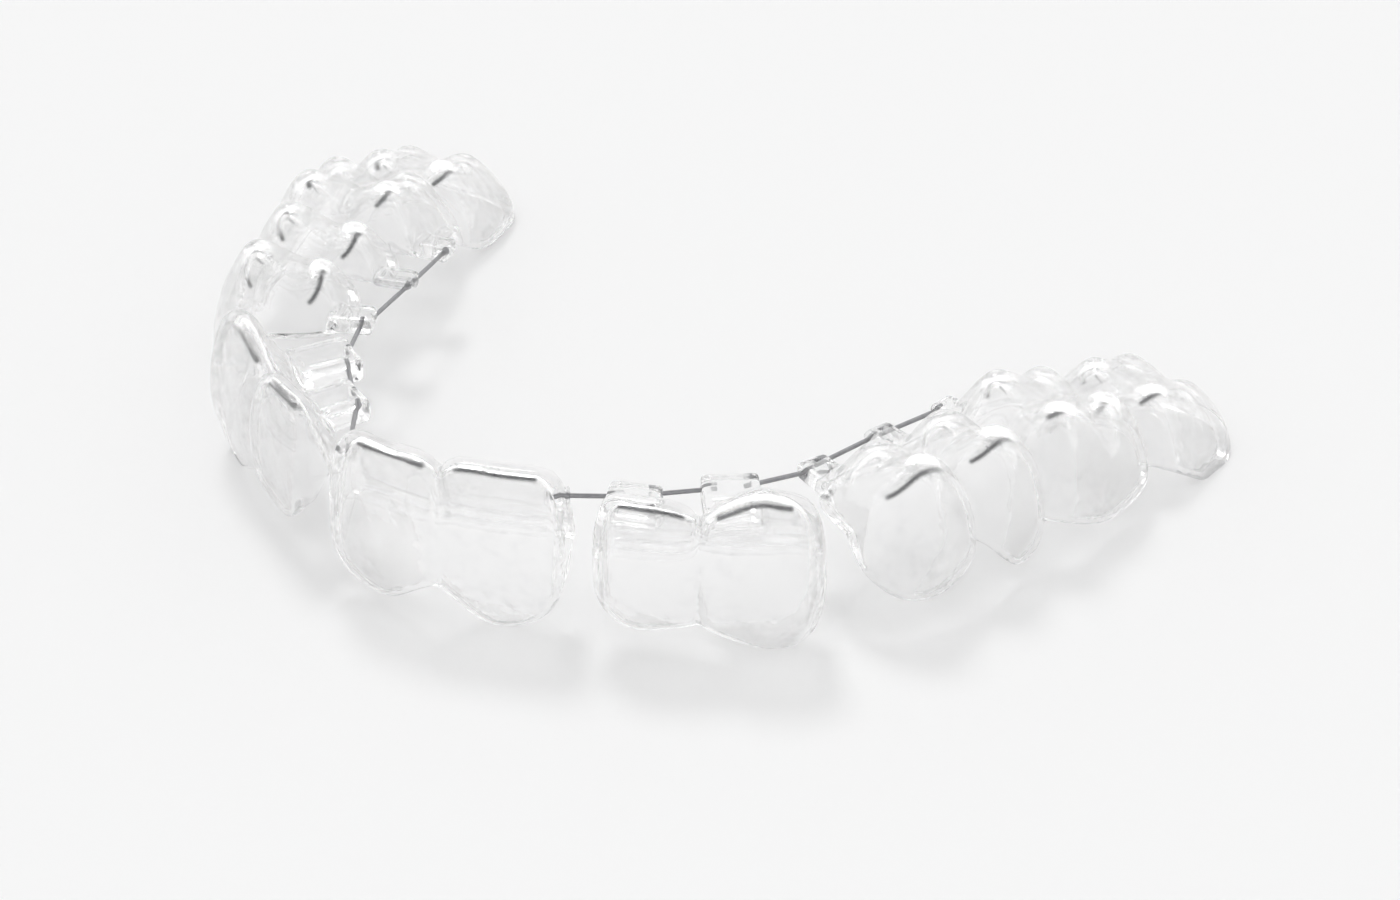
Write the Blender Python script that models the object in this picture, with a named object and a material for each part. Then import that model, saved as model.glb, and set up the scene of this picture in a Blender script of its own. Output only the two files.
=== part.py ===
import math
import bpy
import bmesh
from mathutils import Vector

MM = 0.001

# Shell
WALL = 0.5                  # plastic thickness
OVERLAP = 0.5               # how far a crown runs into its joined neighbour
HOLLOW_OVERLAP = 0.4        # the same for the hollows
OUTER_CUTS = 7              # grid steps along a crown's side, outside
INNER_CUTS = 6              # the same inside
CENTRE_Y = 1.1              # moves the arch so that its box is centred

# Wire
WIRE_R = 0.15
FIT = 0.03                  # play between wire and socket
SEAT = 0.9                  # length of wire held in a pad
PAD_EDGE = 0.3              # bevel round a pad
ROOF = 1.05                 # sheet under the biting edge against the wall
GUM_EASE = 0.9              # crowding of the rows towards the gum edge
CUSP_JOIN = 3.0             # sharpness of the valleys between cusps
CUTTER_TONGUE = 2.6         # reach of a trim cutter past the crown on the tongue side
CUTTER_CHEEK = 2.5          # first reach past the trim step on the cheek side
CUTTER_END = 6.5            # last reach past the trim step on the cheek side
CUTTER_RUN = 2.5            # reach of a trim cutter past a segment's end
CUTTER_DEPTH = 8.0          # depth of a trim cutter below the floor
WIRE_SIDES = 12

# Crown tables, one row a tooth from the midline back.
# place: x, y of the middle of the cusp line, turn in degrees, width along the arch
PLACE_R = [(4.2, -18.3, 20.0, 7.9), (12.7, -15.95, 20.5, 6.3), (18.85, -12.55, 35.5, 7.8),
           (24.75, -4.6, 66.0, 8.3), (27.0, 2.0, 72.0, 6.1), (29.1, 9.4, 79.0, 9.8),
           (31.0, 18.6, 83.0, 9.2)]
PLACE_L = [(3.2, -19.9, 2.0, 7.7), (12.9, -16.85, 27.0, 6.7), (19.3, -12.6, 33.0, 8.0),
           (25.3, -4.6, 66.0, 8.1), (27.5, 2.0, 72.0, 6.1), (29.8, 9.2, 78.0, 9.8),
           (30.9, 18.4, 84.0, 9.2)]

# Outline of each crown at five heights from the gum to the top:
# share of the width, reach to the cheek side, reach to the tongue side
INCISOR = ([0.92, 0.97, 1.0, 1.0, 0.98], [1.0, 1.6, 1.9, 1.6, 0.8], [5.0, 4.0, 3.0, 1.9, 0.75])
LATERAL = ([0.90, 0.96, 1.0, 1.0, 0.98], [0.6, 1.1, 1.5, 1.3, 0.75], [4.8, 3.9, 2.9, 1.9, 0.75])
CANINE = ([0.88, 0.95, 1.0, 1.0, 0.97], [0.5, 1.5, 2.1, 1.8, 1.0], [5.4, 4.8, 4.0, 2.7, 1.1])
PREMOLAR = ([0.92, 0.97, 1.0, 1.0, 0.96], [1.3, 2.1, 2.5, 2.3, 1.6], [7.6, 8.0, 8.0, 7.4, 6.5])
BICUSPID = ([0.92, 0.97, 1.0, 1.0, 0.96], [1.4, 2.1, 2.4, 2.2, 1.6], [8.4, 8.9, 8.8, 8.1, 7.0])
MOLAR = ([0.93, 0.98, 1.0, 1.0, 0.97], [1.7, 2.4, 2.7, 2.4, 1.7], [9.2, 9.6, 9.5, 9.0, 8.0])
WISDOM = ([0.92, 0.98, 1.0, 1.0, 0.95], [2.8, 3.0, 2.8, 2.2, 1.3], [8.6, 9.0, 9.1, 8.7, 7.7])
OUTLINE = [INCISOR, LATERAL, CANINE, PREMOLAR, BICUSPID, MOLAR, WISDOM]
SQUARE = [6.0, 5.5, 3.6, 3.0, 3.0, 3.8, 3.4]
CREST = [8.0, 7.0, 5.6, 4.6, 4.6, 4.6, 4.2]

# Cusps: place along, place across, height, slope
CUSPS = [
    [(-2.4, 0.0, 10.9, 0.14), (2.4, 0.0, 10.75, 0.14)],
    [(-1.9, 0.0, 10.1, 0.16), (1.2, 0.0, 9.75, 0.3)],
    [(-0.1, 0.0, 10.8, 0.5), (2.5, 0.0, 10.2, 0.2)],
    [(0.7, -0.2, 10.4, 0.75), (0.6, -5.1, 9.4, 0.75)],
    [(0.0, -0.2, 9.9, 0.8), (-0.1, -5.4, 9.0, 0.8)],
    [(-2.5, 0.0, 9.7, 0.85), (2.3, 0.0, 8.3, 0.85), (-1.8, -6.2, 9.4, 0.8), (2.6, -5.8, 7.8, 0.85)],
    [(-2.1, -0.4, 6.4, 0.75), (2.0, -0.5, 4.8, 0.75), (-1.7, -5.6, 6.3, 0.75), (2.2, -5.2, 5.0, 0.75)],
]
CUSP_ROUND = 0.8
FLOOR_OUT = -1.6
FLOOR_IN = -3.2
SOLVER_SLACK = 0.002        # share of volume by which the two Boolean solvers may differ

# Trim line heights: cheek side of each hand, tongue side, and between a tooth and the next one back
CHEEK = {"r": [0.0, 1.25, -0.1, 1.9, 1.1, 1.1, -0.2], "l": [0.7, 1.25, -0.1, 1.9, 1.1, 1.1, -0.2]}
LOW_POINT = [-0.08, -0.05, 0.22, 0.0, 0.0, 0.0, 0.0]
TONGUE = [5.3, 5.0, 5.0, 5.6, 5.1, 3.9, 0.3]
BETWEEN_CHEEK = [2.6, 1.9, 4.0, 3.6, 2.6, 2.0, 3.2]
BETWEEN_TONGUE = [5.6, 6.0, 6.2, 6.5, 6.0, 1.6, 1.2]
FREE_RISE = [4.2, 4.0, 4.2, 3.2, 3.0, 3.0, 2.4]
STEP_OUT = [0.5, 0.2, 0.5, 0.4, 0.4, 0.5, 0.5]
STEP_IN = [-1.2, -1.4, -1.6, -2.0, -2.6, -4.4, -6.0]
TRIM_STEPS = 7
STEP_LINES = 6

# Segments: side and number of each tooth in it, along the arch
SEGMENTS = {
    "shell_front": [("l", 0), ("r", 0)],
    "shell_canine_r": [("r", 1), ("r", 2)],
    "shell_canine_l": [("l", 1), ("l", 2)],
    "shell_molar_r": [("r", 3), ("r", 4), ("r", 5), ("r", 6)],
    "shell_molar_l": [("l", 3), ("l", 4), ("l", 5), ("l", 6)],
}

# Pads on the tongue side: tooth, centre, length along the wire, reach inward from the wire to the tooth,
# height. The wire runs through their middles.
PADS = [
    (1, (10.45, -13.35, 7.95), 3.3, 3.1, 1.7),
    (2, (14.25, -8.75, 7.35), 3.6, 3.8, 1.7),
    (3, (16.8, -3.1, 6.5), 2.3, 2.6, 1.2),
    (4, (17.9, 3.0, 5.85), 2.2, 2.3, 1.2),
    (5, (19.2, 9.0, 5.05), 2.0, 2.2, 1.2),
]
PAD_OVER = 0.42             # plastic beyond the wire on its free side
BOSS_R = 0.55               # plastic round the wire's ends in the front shell
BOSS_OUT = 0.15             # how far a boss stands out along the wire

# Ends of the five visible lengths of wire on each side
FIRST_LINK = {"r": ((7.43, -16.45, 8.7), (9.35, -14.65, 8.3)),
              "l": ((7.0, -18.6, 8.75), (9.35, -14.65, 8.3))}
LINKS = [
    ((11.55, -12.05, 7.8), (13.2, -10.25, 7.6)),
    ((15.25, -7.25, 7.1), (16.65, -4.25, 6.65)),
    ((16.95, -1.95, 6.4), (17.65, 1.9, 6.0)),
    ((18.1, 4.1, 5.7), (18.95, 8.0, 5.2)),
]


def clear_scene():
    for obj in list(bpy.data.objects):
        bpy.data.objects.remove(obj, do_unlink=True)


def collection(name):
    made = bpy.data.collections.new(name)
    bpy.context.scene.collection.children.link(made)
    return made


def material(name, colour, transmission, roughness, metallic, ior):
    made = bpy.data.materials.new(name)
    made.use_nodes = True
    shader = made.node_tree.nodes["Principled BSDF"]
    shader.inputs["Base Color"].default_value = colour
    shader.inputs["Transmission Weight"].default_value = transmission
    shader.inputs["Roughness"].default_value = roughness
    shader.inputs["Metallic"].default_value = metallic
    shader.inputs["IOR"].default_value = ior
    return made


def spline(values, h):
    """Smooth curve through evenly spaced values, h from 0 to 1."""
    last = len(values) - 1
    at = min(max(h, 0.0), 1.0) * last
    i = min(int(at), last - 1)
    t = at - i
    p0 = values[max(i - 1, 0)]
    p1 = values[i]
    p2 = values[i + 1]
    p3 = values[min(i + 2, last)]
    return p1 + 0.5 * t * (p2 - p0 + t * (2 * p0 - 5 * p1 + 4 * p2 - p3 + t * (3 * (p1 - p2) + p3 - p0)))


def smooth(a, b, x):
    t = min(max((x - a) / (b - a), 0.0), 1.0)
    return t * t * (3 - 2 * t)


class Frame:
    """Place of a tooth: along the arch (away from the midline), outward, up."""

    def __init__(self, side, number):
        table = PLACE_R if side == "r" else PLACE_L
        x, y, turn, self.width = table[number]
        hand = 1.0 if side == "r" else -1.0
        a = math.radians(turn)
        self.origin = Vector((hand * x, y - CENTRE_Y, 0.0))
        self.along = Vector((hand * math.cos(a), math.sin(a), 0.0))
        self.out = Vector((hand * math.sin(a), -math.cos(a), 0.0))
        self.number = number
        self.side = side

    def point(self, u, v, z):
        return self.origin + self.along * u + self.out * v + Vector((0, 0, z))


def top_height(number, u, v, drop):
    """Height of the chewing surface over a point of the crown."""
    total = 0.0
    for cu, cv, height, slope in CUSPS[number]:
        away = math.sqrt((u - cu) ** 2 + (v - cv) ** 2 + CUSP_ROUND ** 2) - CUSP_ROUND
        total += math.exp(CUSP_JOIN * (height - slope * away))
    return math.log(total) / CUSP_JOIN - drop


def crown_point(frame, a, b, c, wall, ends, floor):
    """Point of a crown for a point of the cube: a along, b outward, c up."""
    n = frame.number
    power = CREST[n]
    rim = 0.5 ** (1.0 / power)
    r = max(abs(a), abs(b))
    if c < 1.0:
        h = rim * max(c, 0.0)
        f = (1 - h ** power) ** (1 / power)
    else:
        f = rim * r
        h = (1 - f ** power) ** (1 / power)
    s = 0.0
    if r > 1e-9:
        angle = math.atan2(b, a)
        k = SQUARE[n]
        ring = (abs(math.cos(angle)) ** k + abs(math.sin(angle)) ** k) ** (-1 / k)
        s = f * (r if c < 1.0 else 1.0) * ring
        x, y = s * math.cos(angle), s * math.sin(angle)
    else:
        x, y = 0.0, 0.0
    share, cheek, tongue = OUTLINE[n]
    half = frame.width / 2 * spline(share, h)
    lo, hi = -half - ends[0], half + ends[1]
    near, far = spline(cheek, h) - wall, -spline(tongue, h) + wall
    u = (lo + hi) / 2 + x * (hi - lo) / 2
    v = (near + far) / 2 + y * (near - far) / 2
    top = top_height(n, u, v, wall * ROOF)
    return frame.point(u, v, floor + h * (top - floor))


def crown(frame, cuts, wall, ends, floor, name):
    """Closed crown, from a cube with an even grid on each face."""
    bm = bmesh.new()
    bmesh.ops.create_cube(bm, size=2.0)
    bmesh.ops.subdivide_edges(bm, edges=bm.edges[:], cuts=cuts - 1, use_grid_fill=True)
    for vert in bm.verts:
        a, b, c = vert.co
        level = (c + 1) / 2
        if c <= -1.0 + 1e-6:
            level = 0.0
        top = c >= 1.0 - 1e-6
        if not top and level > 0.0:
            level = level ** GUM_EASE
        vert.co = crown_point(frame, a, b, 1.0 if top else level, wall, ends, floor) * MM
    face_out(bm)
    return to_object(bm, name)


def face_out(bm):
    """Turn every face of a closed shape outward."""
    bmesh.ops.recalc_face_normals(bm, faces=bm.faces[:])
    if bm.calc_volume(signed=True) < 0:
        bmesh.ops.reverse_faces(bm, faces=bm.faces[:])


def to_object(bm, name, target=None):
    mesh = bpy.data.meshes.new(name)
    bm.to_mesh(mesh)
    bm.free()
    obj = bpy.data.objects.new(name, mesh)
    (target or bpy.context.scene.collection).objects.link(obj)
    return obj


def volume(mesh):
    """Volume of a closed mesh, nothing where an edge is open or shared by three faces."""
    bm = bmesh.new()
    bm.from_mesh(mesh)
    sound = all(edge.is_manifold for edge in bm.edges)
    size = bm.calc_volume() if sound else 0.0
    bm.free()
    return size


def solve(obj, other, operation, solver):
    """Mesh of one Boolean of two objects."""
    mod = obj.modifiers.new("cut", "BOOLEAN")
    mod.operation = operation
    mod.solver = solver
    mod.object = other
    view = bpy.context.view_layer
    view.update()
    mesh = bpy.data.meshes.new_from_object(obj.evaluated_get(view.depsgraph))
    obj.modifiers.remove(mod)
    return mesh


def boolean(obj, other, operation):
    """Apply a Boolean: exact, or the manifold solver where the exact one loses or opens the shell."""
    sure = solve(obj, other, operation, "MANIFOLD")
    mesh = solve(obj, other, operation, "EXACT")
    if abs(volume(mesh) - volume(sure)) > SOLVER_SLACK * volume(sure):
        mesh, sure = sure, mesh
    old = obj.data
    obj.data = mesh
    for spare in (old, sure):
        bpy.data.meshes.remove(spare)
    bpy.data.objects.remove(other, do_unlink=True)


def end_shift(frames, i, joined, free):
    """How far a crown reaches past its own width at its near and far end."""
    shift = []
    for step in (-1, 1):
        toward = frames[i].along * step
        met = False
        for other in frames:
            if other is frames[i]:
                continue
            gap = other.origin - frames[i].origin
            if abs(frames.index(other) - i) == 1 and gap.dot(toward) > 0:
                met = True
        shift.append(joined if met else free)
    return shift


def stations(frames):
    """Lines across a segment, each with its place, outward direction and trim heights."""
    order = list(frames)
    rows = []
    for i, frame in enumerate(order):
        flip = 1 if (len(order) == 1 or toward_next(order, i)) else -1
        for k in range(-TRIM_STEPS, TRIM_STEPS + 1):
            t = math.sin(k / TRIM_STEPS * math.pi / 2)
            if k == -TRIM_STEPS and i > 0:
                continue
            rows.append(station(order, i, t, flip))
    first = rows[0]
    last = rows[-1]
    before = beyond(first, rows[1])
    after = beyond(last, rows[-2])
    return [before] + rows + [after]


def toward_next(order, i):
    """Whether the frame's own direction is the order's direction."""
    if i + 1 < len(order):
        return (order[i + 1].origin - order[i].origin).dot(order[i].along) > 0
    return (order[i].origin - order[i - 1].origin).dot(order[i].along) > 0


def station(order, i, t, flip):
    frame = order[i]
    place = frame.origin + frame.along * (flip * t * frame.width / 2)
    out = frame.out.copy()
    other = None
    if t > 0 and i + 1 < len(order):
        other = order[i + 1]
    if t < 0 and i > 0:
        other = order[i - 1]
    share = abs(t)
    if other is not None:
        out = out.lerp((frame.out + other.out) / 2, share).normalized()
        way = 1 if t > 0 else -1
        flip_o = 1 if toward_next(order, order.index(other)) else -1
        edge = other.origin - other.along * (flip_o * way * other.width / 2)
        place = place.lerp((place + edge) / 2, share ** 3)
    back = flip * t > 0
    heights = trim_heights(frame, share, back, other is not None)
    return (place, out, heights, frame.number)


def trim_heights(frame, share, back, joined):
    """Heights of the trim line on the cheek and tongue side, share of the way to a tooth's edge."""
    n = frame.number
    low = CHEEK[frame.side][n]
    high = TONGUE[n]
    from_low = LOW_POINT[n] * (1 if back else -1)
    at = max((share - from_low) / (1 - from_low), 0.0)
    if not joined:
        return (low + FREE_RISE[n] * (1 - math.sqrt(max(1 - at * at, 0.0))), high)
    index = n if back else max(n - 1, 0)
    cheek = low + (BETWEEN_CHEEK[index] - low) * (1 - math.cos(math.pi * at)) / 2
    tongue = high + (BETWEEN_TONGUE[index] - high) * share ** 3
    return (cheek, tongue)


def beyond(row, inner):
    place, out, heights, number = row
    step = (place - inner[0]).normalized()
    return (place + step * CUTTER_RUN, out, heights, number)


def trim_cutter(frames, name):
    """Solid under the trim line of one segment."""
    rows = stations(frames)
    lines = STEP_LINES + 4
    bm = bmesh.new()
    bmesh.ops.create_grid(bm, x_segments=len(rows) - 1, y_segments=lines - 1, size=1.0)
    for vert in bm.verts:
        i = round((vert.co.x + 1) / 2 * (len(rows) - 1))
        j = round((vert.co.y + 1) / 2 * (lines - 1))
        place, out, heights, number = rows[i]
        outer, inner = STEP_OUT[number], STEP_IN[number]
        far = -OUTLINE[number][2][0] - CUTTER_TONGUE
        reach = [far, (far + inner) / 2]
        reach += [inner + (outer - inner) * q / (STEP_LINES - 1) for q in range(STEP_LINES)]
        reach += [outer + CUTTER_CHEEK, outer + CUTTER_END]
        v = reach[j]
        t = smooth(inner, outer, v)
        z = heights[1] + (heights[0] - heights[1]) * t
        vert.co = (place + out * v + Vector((0, 0, max(z, 0.0)))) * MM
    grow = bmesh.ops.extrude_face_region(bm, geom=bm.faces[:])
    fresh = [item for item in grow["geom"] if isinstance(item, bmesh.types.BMVert)]
    for vert in fresh:
        vert.co.z = -CUTTER_DEPTH * MM
    face_out(bm)
    return to_object(bm, name)


def mirrored(point, side):
    hand = 1.0 if side == "r" else -1.0
    return Vector((hand * point[0], point[1] - CENTRE_Y, point[2]))


def rod(start, end, radius, sides, name, target=None):
    bm = bmesh.new()
    axis = end - start
    bmesh.ops.create_cone(bm, cap_ends=True, segments=sides, radius1=radius * MM,
                          radius2=radius * MM, depth=axis.length * MM)
    turn = Vector((0, 0, 1)).rotation_difference(axis)
    bmesh.ops.rotate(bm, verts=bm.verts[:], matrix=turn.to_matrix())
    bmesh.ops.translate(bm, verts=bm.verts[:], vec=(start + end) / 2 * MM)
    return to_object(bm, name, target)


def block(centre, along, size, name):
    """Box with softened edges, its length along the wire."""
    bm = bmesh.new()
    bmesh.ops.create_cube(bm, size=1.0)
    for vert in bm.verts:
        vert.co = Vector([vert.co[i] * size[i] for i in range(3)])
    bmesh.ops.bevel(bm, geom=bm.edges[:], offset=PAD_EDGE, segments=2, profile=0.5, affect="EDGES")
    flat = Vector((along.x, along.y, 0)).normalized()
    out = Vector((flat.y, -flat.x, 0))
    for vert in bm.verts:
        x, y, z = vert.co
        vert.co = (centre + flat * x + out * y + Vector((0, 0, z))) * MM
    face_out(bm)
    return to_object(bm, name)


def pad(side, spec, frame):
    number, centre, length, reach, height = spec
    middle = mirrored(centre, side)
    inward = Vector((0, 0, 0)) - frame.out
    along = frame.out.cross(Vector((0, 0, 1)))
    shift = inward * ((PAD_OVER - reach) / 2)
    size = (length, reach + PAD_OVER, height)
    return block(middle + shift, along, size, "pad")


def link_ends(side, index):
    row = FIRST_LINK[side] if index == 0 else LINKS[index - 1]
    start, end = (mirrored(p, side) for p in row)
    way = (end - start).normalized()
    return start - way * SEAT, end + way * SEAT


def segment(name, teeth, target, look):
    frames = [Frame(side, number) for side, number in teeth]
    shell = None
    hollow = None
    for i, frame in enumerate(frames):
        reach = end_shift(frames, i, OVERLAP, 0.0)
        outer = crown(frame, OUTER_CUTS, 0.0, reach, FLOOR_OUT, name)
        reach = end_shift(frames, i, HOLLOW_OVERLAP, -WALL)
        inner = crown(frame, INNER_CUTS, WALL, reach, FLOOR_IN, name + "_hollow")
        if shell is None:
            shell, hollow = outer, inner
        else:
            boolean(shell, outer, "UNION")
            boolean(hollow, inner, "UNION")
    boolean(shell, trim_cutter(frames, name + "_trim"), "DIFFERENCE")
    for frame in frames:
        for spec in PADS:
            if spec[0] == frame.number:
                boolean(shell, pad(frame.side, spec, frame), "UNION")
    boolean(shell, hollow, "DIFFERENCE")
    if frames[0].number == 0:
        for frame in frames:
            end, start = link_ends(frame.side, 0)
            way = (start - end).normalized()
            inner = end - way * BOSS_OUT * 2
            outer = end + way * (SEAT + BOSS_OUT)
            boolean(shell, rod(inner, outer, BOSS_R, WIRE_SIDES, "boss"), "UNION")
    for side in sorted({frame.side for frame in frames}):
        for index in range(len(LINKS) + 1):
            start, end = link_ends(side, index)
            way = (end - start).normalized() * FIT
            socket = rod(start - way, end + way, WIRE_R + FIT, WIRE_SIDES, "socket")
            boolean(shell, socket, "DIFFERENCE")
    finish(shell, name, target, look)


def finish(obj, name, target, look):
    obj.name = name
    obj.data.name = name
    obj.data.materials.clear()
    obj.data.materials.append(look)
    for holder in list(obj.users_collection):
        holder.objects.unlink(obj)
    target.objects.link(obj)
    for face in obj.data.polygons:
        face.use_smooth = True


def build():
    clear_scene()
    target = collection("aligner")
    plastic = material("clear_plastic", (0.97, 0.98, 0.98, 1), 1.0, 0.04, 0.0, 1.5)
    metal = material("wire_metal", (0.42, 0.42, 0.43, 1), 0.0, 0.3, 1.0, 1.5)
    for name, teeth in SEGMENTS.items():
        segment(name, teeth, target, plastic)
    for side in ("r", "l"):
        for index in range(len(LINKS) + 1):
            start, end = link_ends(side, index)
            name = "wire_%s%d" % (side, index + 1)
            wire = rod(start, end, WIRE_R, WIRE_SIDES, name, target)
            finish(wire, name, target, metal)


build()
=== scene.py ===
import math

import bmesh
import bpy
import numpy as np
from mathutils import Matrix, Vector, kdtree, noise


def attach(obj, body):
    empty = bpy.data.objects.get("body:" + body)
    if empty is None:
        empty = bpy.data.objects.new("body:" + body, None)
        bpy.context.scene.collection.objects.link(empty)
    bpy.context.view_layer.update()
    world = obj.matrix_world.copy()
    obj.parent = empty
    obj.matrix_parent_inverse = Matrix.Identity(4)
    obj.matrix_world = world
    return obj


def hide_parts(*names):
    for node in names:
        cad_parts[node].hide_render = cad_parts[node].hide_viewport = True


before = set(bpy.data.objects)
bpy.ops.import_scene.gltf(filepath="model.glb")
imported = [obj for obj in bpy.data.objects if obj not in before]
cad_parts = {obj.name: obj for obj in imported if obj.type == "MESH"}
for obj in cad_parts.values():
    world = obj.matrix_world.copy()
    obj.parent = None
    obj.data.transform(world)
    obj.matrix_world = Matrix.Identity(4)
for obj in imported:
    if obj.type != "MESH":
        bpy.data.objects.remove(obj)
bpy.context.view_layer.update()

# Sizes are in millimetres, but the camera's place and the floor are in metres
MM = 0.001

# Shell
WALL = 0.5                  # plastic thickness
OVERLAP = 0.5               # how far a crown runs into its joined neighbour
HOLLOW_OVERLAP = 0.4        # the same for the hollows
CUTS = 26                   # grid steps along a crown's side
CENTRE_Y = 1.1              # moves the arch so that its box is centred
ROOF = 1.05                 # sheet under the biting edge against the wall
GUM_EASE = 0.9              # crowding of the rows towards the gum edge
FORM_VOXEL = 0.15           # grain of the inside and outside forms
FORM_SMOOTH = 10            # passes that round the creases between crowns
FORM_EASE = 0.5             # strength of each of those passes
TINY_EDGE = 0.002           # edges shorter than this are taken out of the finished mesh
EDGE_ANGLE = math.radians(38.0)     # steeper edges are shaded sharp

# Unevenness of the formed sheet: its size, its wide and fine waves, and the pattern's start on each side
RIPPLE = 0.045
RIPPLE_WIDE = 0.42          # waves in a millimetre
RIPPLE_FINE = 1.3           # the same for the fine waves
FINE_SHARE = 0.35           # size of the fine waves against the wide ones
OUTSIDE_START = Vector((3.1, 0.4, 7.7))
INSIDE_START = Vector((9.2, 5.5, 1.3))

# Marks left on the mesh for the plastic's look, which also say where shade is painted on the rim and along
# the hollows' ridges
BEND_PASSES = 24            # reach of the measure of tight bends
CREST_STEPS = 40            # points along each half of a hollow's ridge
CREST_AT = 0.78             # place of the ridge between the top's middle and its edge
CREST_LINE = (0.08, 0.3)    # distances from the ridge at which its line of painted shade is full and gone
CREST_DROP = (2.4, 1.0)     # depths under the ridge's highest point at which its line of painted shade is gone and full

# Crown tables, one row a tooth from the midline back.
# place: x, y of the middle of the cusp line, turn in degrees, width along the arch
PLACE_R = [(4.2, -18.3, 20.0, 7.9), (12.7, -15.95, 20.5, 6.3), (18.85, -12.55, 35.5, 7.8),
           (24.75, -4.6, 66.0, 8.3), (27.0, 2.0, 72.0, 6.1), (29.1, 9.4, 79.0, 9.8),
           (31.0, 18.6, 83.0, 9.2)]
PLACE_L = [(3.2, -19.9, 2.0, 7.7), (12.9, -16.85, 27.0, 6.7), (19.3, -12.6, 33.0, 8.0),
           (25.3, -4.6, 66.0, 8.1), (27.5, 2.0, 72.0, 6.1), (29.8, 9.2, 78.0, 9.8),
           (30.9, 18.4, 84.0, 9.2)]
FIRST_PREMOLAR = 3          # number of the first tooth with cusps on both sides

# Outline of each crown at five heights from the gum to the top:
# share of the width, reach to the cheek side, reach to the tongue side
INCISOR = ([0.92, 0.97, 1.0, 1.0, 0.98], [1.0, 1.6, 1.9, 1.6, 0.8], [5.0, 4.0, 3.0, 1.9, 0.75])
LATERAL = ([0.90, 0.96, 1.0, 1.0, 0.98], [0.6, 1.1, 1.5, 1.3, 0.75], [4.8, 3.9, 2.9, 1.9, 0.75])
CANINE = ([0.88, 0.95, 1.0, 1.0, 0.97], [0.5, 1.5, 2.1, 1.8, 1.0], [5.4, 4.8, 4.0, 2.7, 1.1])
PREMOLAR = ([0.92, 0.97, 1.0, 1.0, 0.96], [1.3, 2.1, 2.5, 2.3, 1.6], [7.6, 8.0, 8.0, 7.4, 6.5])
LAST_PREMOLAR = ([0.92, 0.97, 1.0, 1.0, 0.96], [1.4, 2.1, 2.4, 2.2, 1.6], [8.4, 8.9, 8.8, 8.1, 7.0])
MOLAR = ([0.93, 0.98, 1.0, 1.0, 0.97], [1.7, 2.4, 2.7, 2.4, 1.7], [9.2, 9.6, 9.5, 9.0, 8.0])
LAST_MOLAR = ([0.92, 0.98, 1.0, 1.0, 0.95], [2.8, 3.0, 2.8, 2.2, 1.3], [8.6, 9.0, 9.1, 8.7, 7.7])
OUTLINE = [INCISOR, LATERAL, CANINE, PREMOLAR, LAST_PREMOLAR, MOLAR, LAST_MOLAR]

# How square each crown is, where 2 is round: seen from above, and from the side
SQUARE = [6.0, 5.5, 3.6, 3.0, 3.0, 3.8, 3.4]
CREST = [8.0, 7.0, 5.6, 4.6, 4.6, 4.6, 4.2]

# Cusps: place along, place across, height, slope
CUSPS = [
    [(-2.4, 0.0, 10.9, 0.14), (2.4, 0.0, 10.75, 0.14)],
    [(-1.9, 0.0, 10.1, 0.16), (1.2, 0.0, 9.75, 0.3)],
    [(-0.1, 0.0, 10.8, 0.5), (2.5, 0.0, 10.2, 0.2)],
    [(0.7, -0.2, 10.4, 0.75), (0.6, -5.1, 9.4, 0.75)],
    [(0.0, -0.2, 9.9, 0.8), (-0.1, -5.4, 9.0, 0.8)],
    [(-2.5, 0.0, 9.7, 0.85), (2.3, 0.0, 8.3, 0.85), (-1.8, -6.2, 9.4, 0.8), (2.6, -5.8, 7.8, 0.85)],
    [(-2.1, -0.4, 6.4, 0.75), (2.0, -0.5, 4.8, 0.75), (-1.7, -5.6, 6.3, 0.75), (2.2, -5.2, 5.0, 0.75)],
]
CUSP_ROUND = 0.8            # roundness of each cusp's tip
CUSP_JOIN = 3.0             # sharpness of the valleys between cusps
FLOOR_OUT = -1.6            # foot of the crowns, under the trim line
FLOOR_IN = -3.2             # foot of the hollows

# Trim line heights: cheek side of each hand, tongue side, and between a tooth and the next one back
CHEEK = {"r": [0.0, 1.25, -0.1, 1.9, 1.1, 1.1, -0.2], "l": [0.7, 1.25, -0.1, 1.9, 1.1, 1.1, -0.2]}
TONGUE = [5.3, 5.0, 5.0, 5.6, 5.1, 3.9, 0.3]
BETWEEN_CHEEK = [2.6, 1.9, 4.0, 3.6, 2.6, 2.0, 3.2]
BETWEEN_TONGUE = [5.6, 6.0, 6.2, 6.5, 6.0, 1.6, 1.2]

# Form of the trim line: place of its lowest point as a share of half the width, rise to a free end, and
# where across the crown the cheek side's height and the tongue side's height begin
LOW_POINT = [-0.08, -0.05, 0.22, 0.0, 0.0, 0.0, 0.0]
FREE_RISE = [4.2, 4.0, 4.2, 3.2, 3.0, 3.0, 2.4]
STEP_OUT = [0.5, 0.2, 0.5, 0.4, 0.4, 0.5, 0.5]
STEP_IN = [-1.2, -1.4, -1.6, -2.0, -2.6, -4.4, -6.0]
TRIM_STEPS = 18             # lines over each half of a tooth
STEP_LINES = 10             # lines over the step between the two heights
CUTTER_TONGUE = 2.6         # reach of a trim cutter past the crown on the tongue side
CUTTER_CHEEK = 2.5          # first reach past the trim step on the cheek side
CUTTER_END = 6.5            # last reach past the trim step on the cheek side
CUTTER_RUN = 2.5            # reach of a trim cutter past a segment's end
CUTTER_DEPTH = 8.0          # depth of a trim cutter below the floor

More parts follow.
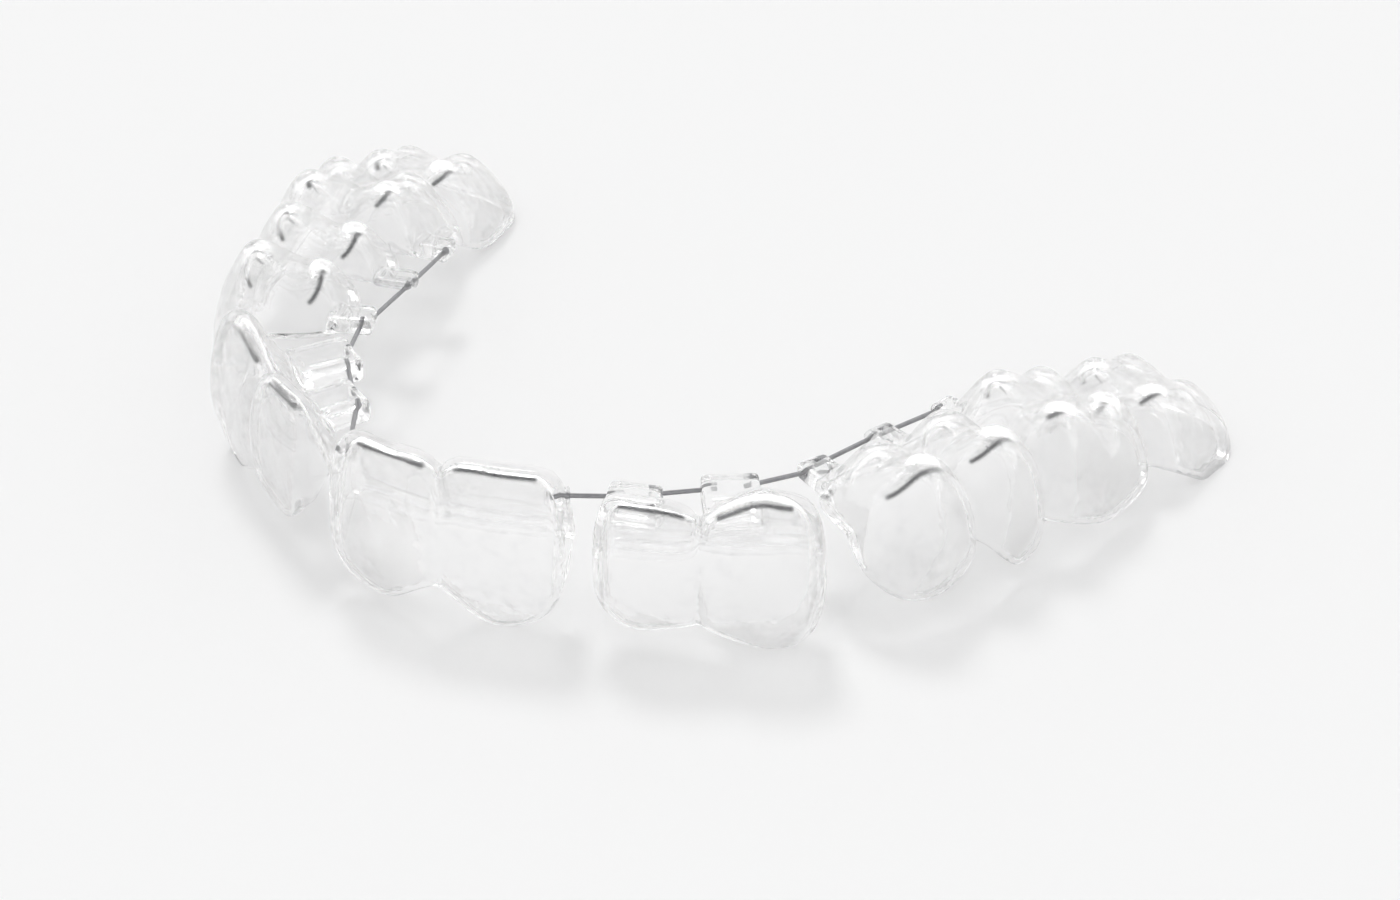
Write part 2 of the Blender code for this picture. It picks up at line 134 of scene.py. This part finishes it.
# Segments: side and number of each tooth in it, along the arch
SEGMENTS = {
    "shell_front": [("l", 0), ("r", 0)],
    "shell_canine_r": [("r", 1), ("r", 2)],
    "shell_canine_l": [("l", 1), ("l", 2)],
    "shell_molar_r": [("r", 3), ("r", 4), ("r", 5), ("r", 6)],
    "shell_molar_l": [("l", 3), ("l", 4), ("l", 5), ("l", 6)],
}

# Pads on the tongue side: tooth, centre, length along the wire, reach from the wire to the tooth, height
PADS = [
    (1, (10.45, -13.35, 7.95), 3.3, 3.1, 1.7),
    (2, (14.25, -8.75, 7.35), 3.6, 3.8, 1.7),
    (3, (16.8, -3.1, 6.5), 2.3, 2.6, 1.2),
    (4, (17.9, 3.0, 5.85), 2.2, 2.3, 1.2),
    (5, (19.2, 9.0, 5.05), 2.0, 2.2, 1.2),
]
PAD_OVER = 0.42             # plastic beyond the wire on its free side
PAD_EDGE = 0.3              # bevel round a pad
PAD_EDGE_STEPS = 4

# Bosses in the front shell, and the visible length of wire that each one holds an end of
BOSS_R = 0.55               # radius of the plastic round the wire's end
BOSS_OUT = 0.15             # how far a boss stands out along the wire
BOSS_SIDES = 48
SEAT = 0.9                  # length of wire held in a boss
FIRST_LINK = {"r": ((7.43, -16.45, 8.7), (9.35, -14.65, 8.3)),
              "l": ((7.0, -18.6, 8.75), (9.35, -14.65, 8.3))}

# Camera of the photograph: place, and the directions of the picture's right, top and back
EYE = (0.127243, -0.193069, 0.14852)
PICTURE_RIGHT = (0.84871, 0.52883, -0.00593)
PICTURE_UP = (-0.28193, 0.4619, 0.84093)
PICTURE_BACK = (0.44745, -0.71203, 0.54111)
LENS = 109.0887
SENSOR = 36.0
NEAREST = 0.01

# Patches of sky: azimuth, height, inner angle, outer angle, in degrees
WINDOW = (136.0, 52.0, 3.0, 10.0)
DARK_FIELD = (20.0, 75.0, 10.0, 46.0)

# Strength of the light, and of what reflections and the view through the plastic show in its place
ROOM_POWER = 0.83
WINDOW_POWER = 13.0
SEEN_ROOM = 1.18
SEEN_FIELD = 0.0
SEEN_WINDOW = 4.5           # twice this through the plastic

# Floor
FLOOR_REACH = 3.0
FLOOR_WHITE = (0.93, 0.93, 0.93, 1)

# Plastic. A bend is how far a vertex stands out from its surroundings, and each pair says where it starts
# to show and where it shows in full.
RIDGE_BEND = (0.03, 0.06)
RIM_BEND = (0.12, 0.2)
FACE_ALPHA = 0.34           # share of a plain face's look that is plastic
MARK_ALPHA = 0.3            # what a mark adds to it
RIM_THIN = 0.8              # share of a ridge's solid look that the trimmed rim loses
CLEAR = (1.0, 1.0, 1.0, 1)
MARKED = (0.85, 0.85, 0.86, 1)
# Painted grey shade along the trimmed rim of the clear sheet
RIM_PAINTED_SHADE = (0.6, 0.6, 0.61, 1)
# Painted dark shade along the ridges of the hollow crowns
PAINTED_CREST_SHADE = (0.02, 0.02, 0.022, 1)

# Faint marks of the mould: scale, detail, and the noise at which a mark starts and is full
CLOUD = (260.0, 2.0, 0.4, 0.72)
GRAIN = (1300.0, 3.0, 0.4, 0.8)

# Wire
STREAKS = (2600.0, 2.0)     # scale and detail
WIRE_DARK = (0.20, 0.20, 0.21, 1)
WIRE_LIGHT = (0.38, 0.38, 0.39, 1)


def spline(values, h):
    """Smooth curve through evenly spaced values, h from 0 to 1."""
    last = len(values) - 1
    at = min(max(h, 0.0), 1.0) * last
    i = min(int(at), last - 1)
    t = at - i
    p0 = values[max(i - 1, 0)]
    p1 = values[i]
    p2 = values[i + 1]
    p3 = values[min(i + 2, last)]
    return p1 + 0.5 * t * (p2 - p0 + t * (2 * p0 - 5 * p1 + 4 * p2 - p3 + t * (3 * (p1 - p2) + p3 - p0)))


def smooth(a, b, x):
    """Soft step from 0 at a to 1 at b."""
    t = min(max((x - a) / (b - a), 0.0), 1.0)
    return t * t * (3 - 2 * t)


def hand(side):
    """Direction of x on a side of the arch."""
    return 1.0 if side == "r" else -1.0


class Tooth:
    """Place of a tooth: along the arch (away from the midline), outward, up."""

    def __init__(self, side, number):
        table = PLACE_R if side == "r" else PLACE_L
        x, y, turn, self.width = table[number]
        a = math.radians(turn)
        self.origin = Vector((hand(side) * x, y - CENTRE_Y, 0.0))
        self.along = Vector((hand(side) * math.cos(a), math.sin(a), 0.0))
        self.out = Vector((hand(side) * math.sin(a), -math.cos(a), 0.0))
        self.number = number
        self.side = side

    def point(self, u, v, z):
        """Point that is u along, v outward and z up from the tooth's place."""
        return self.origin + self.along * u + self.out * v + Vector((0, 0, z))


def top_height(number, u, v, drop):
    """Height of the chewing surface over a point of the crown."""
    total = 0.0
    for cu, cv, height, slope in CUSPS[number]:
        away = math.sqrt((u - cu) ** 2 + (v - cv) ** 2 + CUSP_ROUND ** 2) - CUSP_ROUND
        total += math.exp(CUSP_JOIN * (height - slope * away))
    return math.log(total) / CUSP_JOIN - drop


def crown_point(tooth, a, b, c, wall, ends, floor):
    """Point of a crown for a point of the cube: a along, b outward, c up."""
    n = tooth.number
    power = CREST[n]
    rim = 0.5 ** (1.0 / power)
    r = max(abs(a), abs(b))
    if c < 1.0:
        h = rim * max(c, 0.0)
        f = (1 - h ** power) ** (1 / power)
    else:
        f = rim * r
        h = (1 - f ** power) ** (1 / power)
    x, y = 0.0, 0.0
    if r > 1e-9:
        angle = math.atan2(b, a)
        k = SQUARE[n]
        ring = (abs(math.cos(angle)) ** k + abs(math.sin(angle)) ** k) ** (-1 / k)
        s = f * (r if c < 1.0 else 1.0) * ring
        x, y = s * math.cos(angle), s * math.sin(angle)
    share, cheek, tongue = OUTLINE[n]
    half = tooth.width / 2 * spline(share, h)
    lo, hi = -half - ends[0], half + ends[1]
    near, far = spline(cheek, h) - wall, -spline(tongue, h) + wall
    u = (lo + hi) / 2 + x * (hi - lo) / 2
    v = (near + far) / 2 + y * (near - far) / 2
    top = top_height(n, u, v, wall * ROOF)
    return tooth.point(u, v, floor + h * (top - floor))


def add_crown(form, tooth, wall, ends, floor):
    """Add a closed crown to a form, from a cube with an even grid on each face."""
    bm = bmesh.new()
    bmesh.ops.create_cube(bm, size=2.0)
    bmesh.ops.subdivide_edges(bm, edges=bm.edges[:], cuts=CUTS - 1, use_grid_fill=True)
    for vert in bm.verts:
        a, b, c = vert.co
        level = max((c + 1) / 2, 0.0) ** GUM_EASE
        top = c >= 1.0 - 1e-6
        vert.co = crown_point(tooth, a, b, 1.0 if top else level, wall, ends, floor) * MM
    pour(form, bm)


def pour(form, bm):
    """Move a closed shape into a form, its faces outward."""
    bmesh.ops.recalc_face_normals(bm, faces=bm.faces[:])
    if bm.calc_volume(signed=True) < 0:
        bmesh.ops.reverse_faces(bm, faces=bm.faces[:])
    mesh = bpy.data.meshes.new("part")
    bm.to_mesh(mesh)
    bm.free()
    form.from_mesh(mesh)
    bpy.data.meshes.remove(mesh)


def mirrored(point, side):
    """Point of the right side's tables, put on a side of the arch."""
    return Vector((hand(side) * point[0], point[1] - CENTRE_Y, point[2]))


def add_pad(form, tooth, centre, length, reach, height):
    """Add a block with softened edges, its length along the wire, which reaches to its tooth."""
    bm = bmesh.new()
    bmesh.ops.create_cube(bm, size=1.0)
    bmesh.ops.scale(bm, vec=(length, reach + PAD_OVER, height), verts=bm.verts[:])
    bmesh.ops.bevel(bm, geom=bm.edges[:], offset=PAD_EDGE, segments=PAD_EDGE_STEPS, profile=0.5,
                    affect="EDGES", material=-1)
    up = Vector((0, 0, 1))
    flat = tooth.out.cross(up).normalized()
    turn = Matrix((flat, Vector((flat.y, -flat.x, 0)), up)).transposed()
    middle = mirrored(centre, tooth.side) + tooth.out * ((reach - PAD_OVER) / 2)
    bmesh.ops.rotate(bm, verts=bm.verts[:], matrix=turn)
    bmesh.ops.translate(bm, verts=bm.verts[:], vec=middle)
    bmesh.ops.scale(bm, vec=(MM, MM, MM), verts=bm.verts[:])
    pour(form, bm)


def boss(side):
    """Round boss in a front crown's end, which holds the end of the wire."""
    start, end = (mirrored(point, side) for point in FIRST_LINK[side])
    way = (end - start).normalized()
    inner = start - way * (SEAT + 2 * BOSS_OUT)
    outer = start + way * BOSS_OUT
    bm = bmesh.new()
    bmesh.ops.create_cone(bm, cap_ends=True, segments=BOSS_SIDES, radius1=BOSS_R, radius2=BOSS_R,
                          depth=(outer - inner).length)
    turn = Vector((0, 0, 1)).rotation_difference(way)
    bmesh.ops.rotate(bm, verts=bm.verts[:], matrix=turn.to_matrix())
    bmesh.ops.translate(bm, verts=bm.verts[:], vec=(inner + outer) / 2)
    bmesh.ops.scale(bm, vec=(MM, MM, MM), verts=bm.verts[:])
    form = bmesh.new()
    pour(form, bm)
    return to_object(form, "boss")


def end_shift(teeth, i, joined, free):
    """How far a crown reaches past its own width at its near and far end."""
    shift = []
    for step in (-1, 1):
        toward = teeth[i].along * step
        met = False
        for j, other in enumerate(teeth):
            if abs(j - i) == 1 and (other.origin - teeth[i].origin).dot(toward) > 0:
                met = True
        shift.append(joined if met else free)
    return shift


def direction(teeth, i):
    """1 where a tooth's own direction is the segment's, -1 where it is the other way."""
    j = min(i, len(teeth) - 2)
    way = teeth[j + 1].origin - teeth[j].origin
    return 1 if way.dot(teeth[i].along) > 0 else -1


def trim_heights(tooth, share, back, joined):
    """Heights of the trim line on the cheek and tongue side, share of the way to a tooth's edge."""
    n = tooth.number
    low = CHEEK[tooth.side][n]
    high = TONGUE[n]
    from_low = LOW_POINT[n] * (1 if back else -1)
    at = max((share - from_low) / (1 - from_low), 0.0)
    if not joined:
        return (low + FREE_RISE[n] * (1 - math.sqrt(max(1 - at * at, 0.0))), high)
    index = n if back else max(n - 1, 0)
    cheek = low + (BETWEEN_CHEEK[index] - low) * (1 - math.cos(math.pi * at)) / 2
    tongue = high + (BETWEEN_TONGUE[index] - high) * share ** 3
    return (cheek, tongue)


def station(teeth, i, t):
    """Line across a tooth, at t from -1 to 1 over its width in the segment's direction."""
    tooth = teeth[i]
    flip = direction(teeth, i)
    place = tooth.origin + tooth.along * (flip * t * tooth.width / 2)
    out = tooth.out.copy()
    share = abs(t)
    step = 1 if t > 0 else -1
    joined = t != 0 and 0 <= i + step < len(teeth)
    if joined:
        other = teeth[i + step]
        out = out.lerp((tooth.out + other.out) / 2, share).normalized()
        edge = other.origin - other.along * (direction(teeth, i + step) * step * other.width / 2)
        place = place.lerp((place + edge) / 2, share ** 3)
    return (place, out, trim_heights(tooth, share, flip * t > 0, joined), tooth.number)


def beyond(row, inner):
    """Line past a segment's end, which carries the cutter clear of it."""
    place, out, heights, number = row
    step = (place - inner[0]).normalized()
    return (place + step * CUTTER_RUN, out, heights, number)


def stations(teeth):
    """Lines across a segment, each with its place, outward direction, trim heights and tooth."""
    rows = []
    for i in range(len(teeth)):
        for k in range(-TRIM_STEPS, TRIM_STEPS + 1):
            if i == 0 or k > -TRIM_STEPS:
                rows.append(station(teeth, i, math.sin(k / TRIM_STEPS * math.pi / 2)))
    return [beyond(rows[0], rows[1])] + rows + [beyond(rows[-1], rows[-2])]


def reaches(number):
    """Places of a trim cutter's points across a tooth, from the tongue side to the cheek side."""
    outer, inner = STEP_OUT[number], STEP_IN[number]
    far = -OUTLINE[number][2][0] - CUTTER_TONGUE
    step = [inner + (outer - inner) * q / (STEP_LINES - 1) for q in range(STEP_LINES)]
    return [far, (far + inner) / 2] + step + [outer + CUTTER_CHEEK, outer + CUTTER_END]


def trim_cutter(teeth):
    """Solid under the trim line of one segment."""
    rows = stations(teeth)
    across = [reaches(number) for place, out, heights, number in rows]
    last_row, last_line = len(rows) - 1, len(across[0]) - 1
    bm = bmesh.new()
    bmesh.ops.create_grid(bm, x_segments=last_row, y_segments=last_line, size=1.0)
    for vert in bm.verts:
        i = round((vert.co.x + 1) / 2 * last_row)
        j = round((vert.co.y + 1) / 2 * last_line)
        place, out, heights, number = rows[i]
        v = across[i][j]
        z = heights[1] + (heights[0] - heights[1]) * smooth(STEP_IN[number], STEP_OUT[number], v)
        vert.co = (place + out * v + Vector((0, 0, max(z, 0.0)))) * MM
    grow = bmesh.ops.extrude_face_region(bm, geom=bm.faces[:])
    for item in grow["geom"]:
        if isinstance(item, bmesh.types.BMVert):
            item.co.z = -CUTTER_DEPTH * MM
    form = bmesh.new()
    pour(form, bm)
    return to_object(form, "trim")


def to_object(bm, name):
    """Make an object in the scene of a shape."""
    mesh = bpy.data.meshes.new(name)
    bm.to_mesh(mesh)
    bm.free()
    obj = bpy.data.objects.new(name, mesh)
    bpy.context.scene.collection.objects.link(obj)
    return obj


def apply_modifiers(obj):
    """Give an object the mesh that its modifiers make."""
    view = bpy.context.view_layer
    view.update()
    mesh = bpy.data.meshes.new_from_object(obj.evaluated_get(view.depsgraph))
    old = obj.data
    obj.modifiers.clear()
    obj.data = mesh
    bpy.data.meshes.remove(old)


def regrain(obj):
    """Fuse the closed shapes of an object into one skin of even grain, and round its creases."""
    skin = obj.modifiers.new("skin", "REMESH")
    skin.mode = "VOXEL"
    skin.voxel_size = FORM_VOXEL * MM
    skin.use_smooth_shade = True
    rounding = obj.modifiers.new("rounding", "SMOOTH")
    rounding.factor = FORM_EASE
    rounding.iterations = FORM_SMOOTH
    apply_modifiers(obj)


def unevenness(mesh, start):
    """Slight waviness of a formed sheet."""
    normals = [normal.vector.copy() for normal in mesh.vertex_normals]
    for vert, normal in zip(mesh.vertices, normals):
        at = vert.co / MM
        wide = noise.noise(at * RIPPLE_WIDE + start)
        fine = noise.noise(at * RIPPLE_FINE - start)
        vert.co += normal * ((wide + FINE_SHARE * fine) * RIPPLE * MM)


def formed(form, name, start):
    """One side of the sheet, made of its closed shapes."""
    obj = to_object(form, name)
    regrain(obj)
    unevenness(obj.data, start)
    return obj


def boolean(obj, other, operation):
    """Combine an object with another, which is used up."""
    mod = obj.modifiers.new("cut", "BOOLEAN")
    mod.operation = operation
    mod.solver = "MANIFOLD"
    mod.object = other
    apply_modifiers(obj)
    bpy.data.objects.remove(other, do_unlink=True)


def finish_skin(obj):
    """Shade the skin smooth with the trimmed edge sharp."""
    bm = bmesh.new()
    bm.from_mesh(obj.data)
    bmesh.ops.dissolve_degenerate(bm, dist=TINY_EDGE * MM, edges=bm.edges[:])
    bmesh.ops.triangulate(bm, faces=bm.faces[:])
    for face in bm.faces:
        face.smooth = True
    for edge in bm.edges:
        edge.smooth = edge.calc_face_angle(0.0) < EDGE_ANGLE
    bm.to_mesh(obj.data)
    bm.free()
    obj.data.validate()


def note_bends(mesh):
    """Store how far each vertex stands out from its surroundings: above 0 on ridges, below 0 in hollows."""
    count = len(mesh.vertices)
    places = np.empty(count * 3)
    mesh.vertices.foreach_get("co", places)
    places = places.reshape(-1, 3) / MM
    pairs = np.empty(len(mesh.edges) * 2, dtype=np.int64)
    mesh.edges.foreach_get("vertices", pairs)
    first, second = pairs.reshape(-1, 2).T
    met = np.bincount(pairs, minlength=count).astype(float)
    around = places.copy()
    for _ in range(BEND_PASSES):
        for axis in range(3):
            to_first = np.bincount(first, around[second, axis], count)
            to_second = np.bincount(second, around[first, axis], count)
            around[:, axis] = (around[:, axis] + (to_first + to_second) / met) / 2
    normals = np.empty(count * 3)
    mesh.vertex_normals.foreach_get("vector", normals)
    bend = ((places - around) * normals.reshape(-1, 3)).sum(axis=1)
    mesh.attributes.new("bend", "FLOAT", "POINT").data.foreach_set("value", bend.astype(np.float32))


def crest_line(teeth):
    """Points along the ridges of the hollow crowns, each with the weight of its painted shade: 1 at a cusp,
    0 in a valley.
    """
    gone, full = CREST_DROP
    line = []
    for i, tooth in enumerate(teeth):
        ends = end_shift(teeth, i, HOLLOW_OVERLAP, -WALL)
        for across in ((CREST_AT, -CREST_AT) if tooth.number >= FIRST_PREMOLAR else (CREST_AT,)):
            ridge = []
            for k in range(-CREST_STEPS, CREST_STEPS + 1):
                along = CREST_AT * k / CREST_STEPS
                ridge.append(crown_point(tooth, along, across, 1.0, WALL, ends, FLOOR_IN))
            top = max(point.z for point in ridge)
            line += [(point, smooth(top - gone, top - full, point.z)) for point in ridge]
    return line


def note_crest_shade(mesh, teeth):
    """Store how near each vertex is to the ridge of a hollow crown, where dark shade is painted."""
    points, weights = zip(*crest_line(teeth))
    tree = kdtree.KDTree(len(points))
    for i, point in enumerate(points):
        tree.insert(point, i)
    tree.balance()
    values = []
    for vert in mesh.vertices:
        _, i, away = tree.find(vert.co / MM)
        values.append(weights[i] * (1.0 - smooth(*CREST_LINE, away)))
    mesh.attributes.new("crest_shade", "FLOAT", "POINT").data.foreach_set("value", values)


def shell(name, members):
    """One length of the formed sheet: crowns and pads outside, hollow crowns inside, trimmed below."""
    teeth = [Tooth(side, number) for side, number in members]
    outside = bmesh.new()
    inside = bmesh.new()
    for i, tooth in enumerate(teeth):
        add_crown(outside, tooth, 0.0, end_shift(teeth, i, OVERLAP, 0.0), FLOOR_OUT)
        add_crown(inside, tooth, WALL, end_shift(teeth, i, HOLLOW_OVERLAP, -WALL), FLOOR_IN)
        for number, *pad in PADS:
            if number == tooth.number:
                add_pad(outside, tooth, *pad)
    sheet = formed(outside, name, OUTSIDE_START)
    boolean(sheet, formed(inside, name + "_hollow", INSIDE_START), "DIFFERENCE")
    boolean(sheet, trim_cutter(teeth), "DIFFERENCE")
    if teeth[0].number == 0:
        for tooth in teeth:
            boolean(sheet, boss(tooth.side), "UNION")
    finish_skin(sheet)
    note_bends(sheet.data)
    note_crest_shade(sheet.data, teeth)
    return sheet


class Wire:
    """A socket of a shader node, with arithmetic."""

    def __init__(self, look, link):
        self.look = look
        self.link = link

    def maths(self, operation, other=0.0, swap=False):
        """Math node on this socket and a number or another socket, swapped where the order matters."""
        pair = [other, self] if swap else [self, other]
        return self.look.add("ShaderNodeMath", {"operation": operation}, dict(enumerate(pair)))

    def __add__(self, other):
        return self.maths("ADD", other)

    def __radd__(self, other):
        return self.maths("ADD", other, True)

    def __sub__(self, other):
        return self.maths("SUBTRACT", other)

    def __rsub__(self, other):
        return self.maths("SUBTRACT", other, True)

    def __mul__(self, other):
        return self.maths("MULTIPLY", other)

    def __rmul__(self, other):
        return self.maths("MULTIPLY", other, True)


class Nodes:
    """A node tree under construction."""

    def __init__(self, tree):
        self.tree = tree

    def add(self, kind, settings=None, inputs=None, output=0):
        """Node of a kind with its settings, then its sockets' values or links; gives one output."""
        node = self.tree.nodes.new(kind)
        for key, value in (settings or {}).items():
            setattr(node, key, value)
        for key, value in (inputs or {}).items():
            if isinstance(value, Wire):
                self.tree.links.new(value.link, node.inputs[key])
            else:
                node.inputs[key].default_value = value
        return Wire(self, node.outputs[output])

    def attribute(self, name):
        return self.add("ShaderNodeAttribute", {"attribute_name": name}, output="Fac")

    def noise(self, place, scale, detail):
        return self.add("ShaderNodeTexNoise", {}, {"Vector": place, "Scale": scale, "Detail": detail})

    def span(self, wire, low, high):
        """Soft step from 0 at low to 1 at high."""
        return self.add("ShaderNodeMapRange", {"interpolation_type": "SMOOTHSTEP"},
                        {"Value": wire, "From Min": low, "From Max": high})

    def patch(self, place, azimuth, height, inner, outer):
        """Round patch of sky: 1 within the inner angle of a direction, 0 beyond the outer."""
        turn, rise = math.radians(azimuth), math.radians(height)
        way = (-math.cos(rise) * math.sin(turn), -math.cos(rise) * math.cos(turn), math.sin(rise))
        near = self.add("ShaderNodeVectorMath", {"operation": "DOT_PRODUCT"}, {0: place, 1: way}, "Value")
        return self.span(near, math.cos(math.radians(outer)), math.cos(math.radians(inner)))


class Look(Nodes):
    """A node material with its Principled shader."""

    def __init__(self, name, **constants):
        self.material = bpy.data.materials.new(name)
        self.material.use_nodes = True
        super().__init__(self.material.node_tree)
        self.shader = self.tree.nodes["Principled BSDF"]
        for socket, value in constants.items():
            self.shader.inputs[socket.replace("_", " ")].default_value = value
        self.place = self.add("ShaderNodeTexCoord", output="Object")

    def feed(self, socket, wire):
        self.tree.links.new(wire.link, self.shader.inputs[socket])

    def blend(self, share, low, high):
        """Colour between two colours."""
        return self.add("ShaderNodeMix", {"data_type": "RGBA"}, {0: share, 6: low, 7: high}, output=2)

    def marks(self, scale, detail, low, high):
        """Soft-edged patches where a noise is high."""
        return self.span(self.noise(self.place, scale, detail), low, high)


def clear_plastic():
    """Formed clear sheet. Plain faces let light by and tight bends gather it, the trimmed rim has painted
    grey shade, the crests of the hollows have painted dark shade, and the mould leaves faint marks."""
    look = Look("clear_plastic", Transmission_Weight=1.0, IOR=1.46)
    bend = look.attribute("bend")
    # Nearness to a hollow's ridge, where dark shade is painted
    crest_shade = look.attribute("crest_shade")
    ridge = look.span(bend.maths("ABSOLUTE"), *RIDGE_BEND)
    # rim marks the trimmed edge, where grey shade is painted into the colour
    rim = look.span(bend, *RIM_BEND)
    cloud = look.marks(*CLOUD)
    grain = look.marks(*GRAIN)
    mark = cloud * grain
    face = look.blend(mark, CLEAR, MARKED)
    # Base colour: the mould's marks, with painted grey shade on the rim and painted dark shade on the
    # hollows' ridges
    look.feed("Base Color", look.blend(crest_shade, look.blend(rim, face, RIM_PAINTED_SHADE), PAINTED_CREST_SHADE))
    look.feed("Roughness", cloud * 0.05 + 0.015)
    firm = (ridge * (1.0 - rim * RIM_THIN)).maths("MAXIMUM", crest_shade)
    solid = firm * (1.0 - FACE_ALPHA) + FACE_ALPHA
    look.feed("Alpha", solid.maths("MAXIMUM", mark * MARK_ALPHA + FACE_ALPHA))
    look.feed("Normal", look.add("ShaderNodeBump", {}, {"Strength": 0.06, "Distance": 0.0001,
                                                        "Height": cloud + grain * 0.6}))
    return look.material


def wire_metal():
    """Drawn stainless wire."""
    look = Look("wire_metal", Metallic=1.0)
    streaks = look.noise(look.place, *STREAKS)
    look.feed("Base Color", look.blend(streaks, WIRE_DARK, WIRE_LIGHT))
    look.feed("Roughness", streaks * 0.2 + 0.25)
    return look.material


def backdrop():
    """Plain pale floor."""
    bm = bmesh.new()
    bmesh.ops.create_grid(bm, x_segments=1, y_segments=1, size=FLOOR_REACH)
    floor = to_object(bm, "floor")
    look = Look("floor_white", Base_Color=FLOOR_WHITE, Roughness=0.9, Specular_IOR_Level=0.0)
    floor.data.materials.append(look.material)


def daylight():
    """Pale room with one bright window. Reflections and the view through the plastic show a brighter room
    with a dark field in it, which draws the edges."""
    world = bpy.data.worlds.new("studio")
    world.use_nodes = True
    room = Nodes(world.node_tree)
    place = room.add("ShaderNodeTexCoord", output="Generated")
    window = room.patch(place, *WINDOW)
    field = room.patch(place, *DARK_FIELD)
    glossy = room.add("ShaderNodeLightPath", output="Is Glossy Ray")
    through = room.add("ShaderNodeLightPath", output="Is Transmission Ray")
    seen = glossy.maths("MAXIMUM", through)
    plain = window * WINDOW_POWER + ROOM_POWER
    shown = SEEN_ROOM - field * (SEEN_ROOM - SEEN_FIELD) + window * (through * SEEN_WINDOW + SEEN_WINDOW)
    strength = plain * (1.0 - seen) + shown * seen
    sky = world.node_tree.nodes["Background"]
    sky.inputs["Color"].default_value = (1, 1, 1, 1)
    world.node_tree.links.new(strength.link, sky.inputs["Strength"])
    bpy.context.scene.world = world


def camera():
    """Camera of the photograph."""
    data = bpy.data.cameras.new("camera")
    data.lens = LENS
    data.sensor_width = SENSOR
    data.clip_start = NEAREST
    obj = bpy.data.objects.new("camera", data)
    axes = Matrix((PICTURE_RIGHT, PICTURE_UP, PICTURE_BACK)).transposed()
    obj.matrix_world = Matrix.Translation(EYE) @ axes.to_4x4()
    bpy.context.scene.collection.objects.link(obj)
    bpy.context.scene.camera = obj


def dress():
    """Put a formed shell in place of each of the CAD's, and give the CAD's wires their metal."""
    plastic = clear_plastic()
    metal = wire_metal()
    for name, members in SEGMENTS.items():
        piece = shell(name.replace("shell", "sheet"), members)
        piece.data.materials.clear()
        piece.data.materials.append(plastic)
        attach(piece, "root")
        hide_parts(name)
    for name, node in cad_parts.items():
        if name.startswith("wire"):
            for slot in node.material_slots:
                slot.material = metal


bpy.context.scene.view_settings.view_transform = "Standard"
backdrop()
daylight()
camera()
dress()
